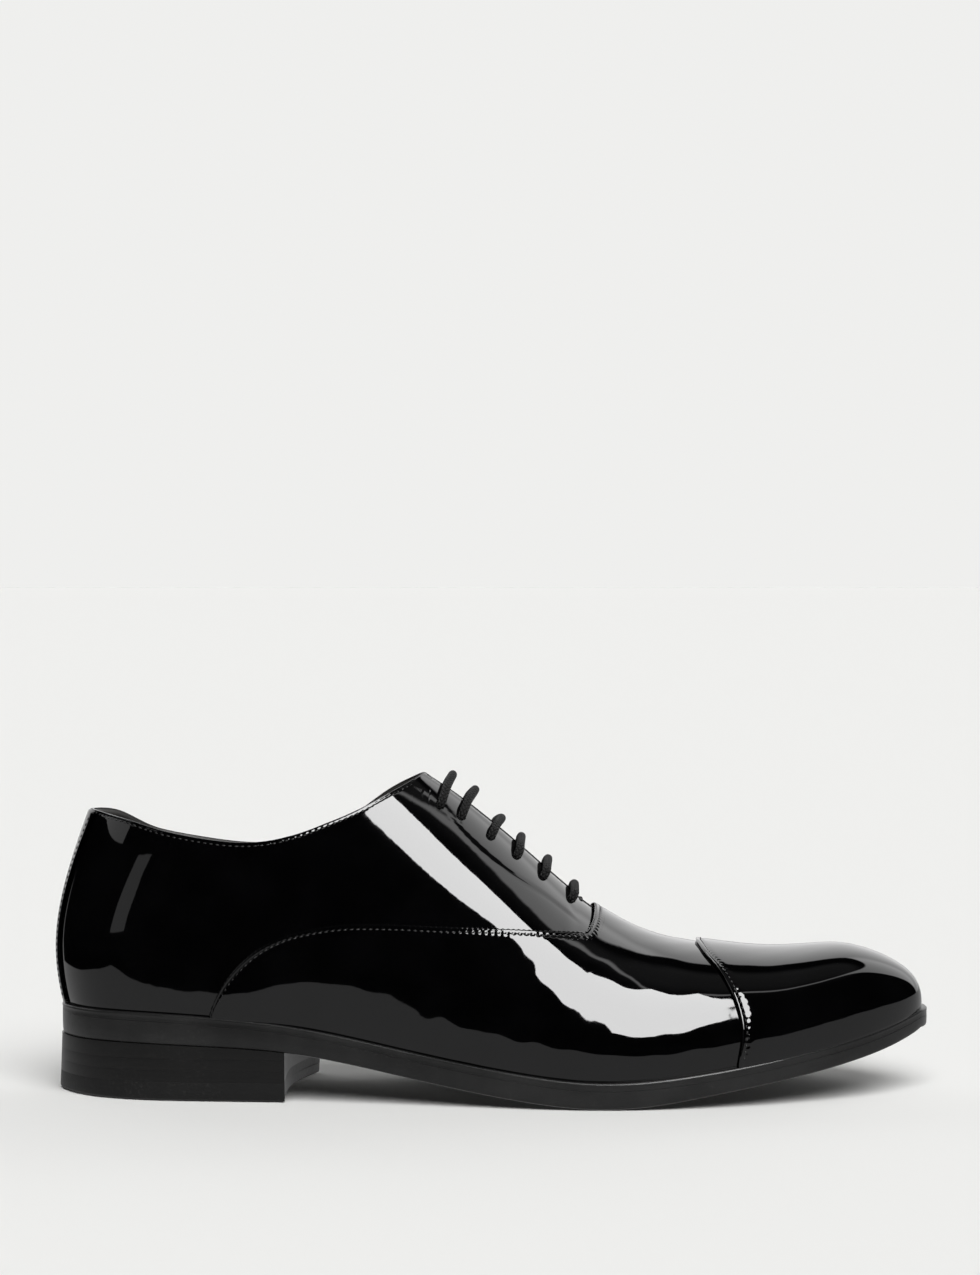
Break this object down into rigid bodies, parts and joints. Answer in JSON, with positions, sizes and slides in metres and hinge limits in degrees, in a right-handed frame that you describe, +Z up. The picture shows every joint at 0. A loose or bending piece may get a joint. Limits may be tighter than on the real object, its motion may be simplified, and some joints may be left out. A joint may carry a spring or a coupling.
{
  "type": "oxford shoe",
  "caption": "Right-foot closed-lacing cap-toe oxford in glossy patent leather, with a close-trimmed leather sole, a low stacked heel and a round waxed lace.",
  "frame": {"origin": "on the floor under the middle of the whole shoe's box", "axes": "+X from heel to toe, +Y to the inner (medial) side of the foot, +Z up"},
  "size_m": [0.3102, 0.101, 0.1118],
  "materials": {
    "patent_leather": "high-gloss black patent",
    "lining_leather": "matte dark lining leather",
    "sole_leather": "black edge dressing, satin",
    "heel_leather": "black stained leather layers, satin",
    "top_piece_rubber": "matte rubber",
    "board": "fibre board",
    "cork": "granulated cork",
    "steel": "plain strip steel",
    "stiffener": "thermoplastic stiffener sheet",
    "eyelet_metal": "black lacquered",
    "lace_cord": "waxed round braid",
    "lace_tip": "clear-coated black"
  },
  "bodies": {
    "shoe": {"outsole": "sole_leather", "welt": "sole_leather", "cork_filler": "cork", "shank": "steel", "insole_board": "board", "sock_lining": "lining_leather", "heel_top_piece": "top_piece_rubber", "heel_lift_1": "heel_leather", "heel_lift_2": "heel_leather", "heel_seat_lift": "heel_leather", "vamp": "patent_leather", "toe_cap": "patent_leather", "quarter_lateral": "patent_leather", "quarter_medial": "patent_leather", "back_strip": "patent_leather", "quarter_lining_lateral": "lining_leather", "quarter_lining_medial": "lining_leather", "vamp_lining": "lining_leather", "toe_puff": "stiffener", "heel_counter": "stiffener", "eyelet_lateral_1": "eyelet_metal", "eyelet_medial_1": "eyelet_metal", "eyelet_lateral_2": "eyelet_metal", "eyelet_medial_2": "eyelet_metal", "eyelet_lateral_3": "eyelet_metal", "eyelet_medial_3": "eyelet_metal", "eyelet_lateral_4": "eyelet_metal", "eyelet_medial_4": "eyelet_metal", "eyelet_lateral_5": "eyelet_metal", "eyelet_medial_5": "eyelet_metal", "eyelet_lateral_6": "eyelet_metal", "eyelet_medial_6": "eyelet_metal", "lace": "lace_cord", "lace_tip_1": "lace_tip", "lace_tip_2": "lace_tip"},
    "tongue_flap": {"tongue": "patent_leather"}
  },
  "joints": [
    {"name": "tongue_hinge", "type": "hinge", "parent": "shoe", "child": "tongue_flap", "pos_m": [0.0435, 0.003, 0.0492], "axis": [0, -1, 0], "range_deg": [0, 9]}
  ]
}
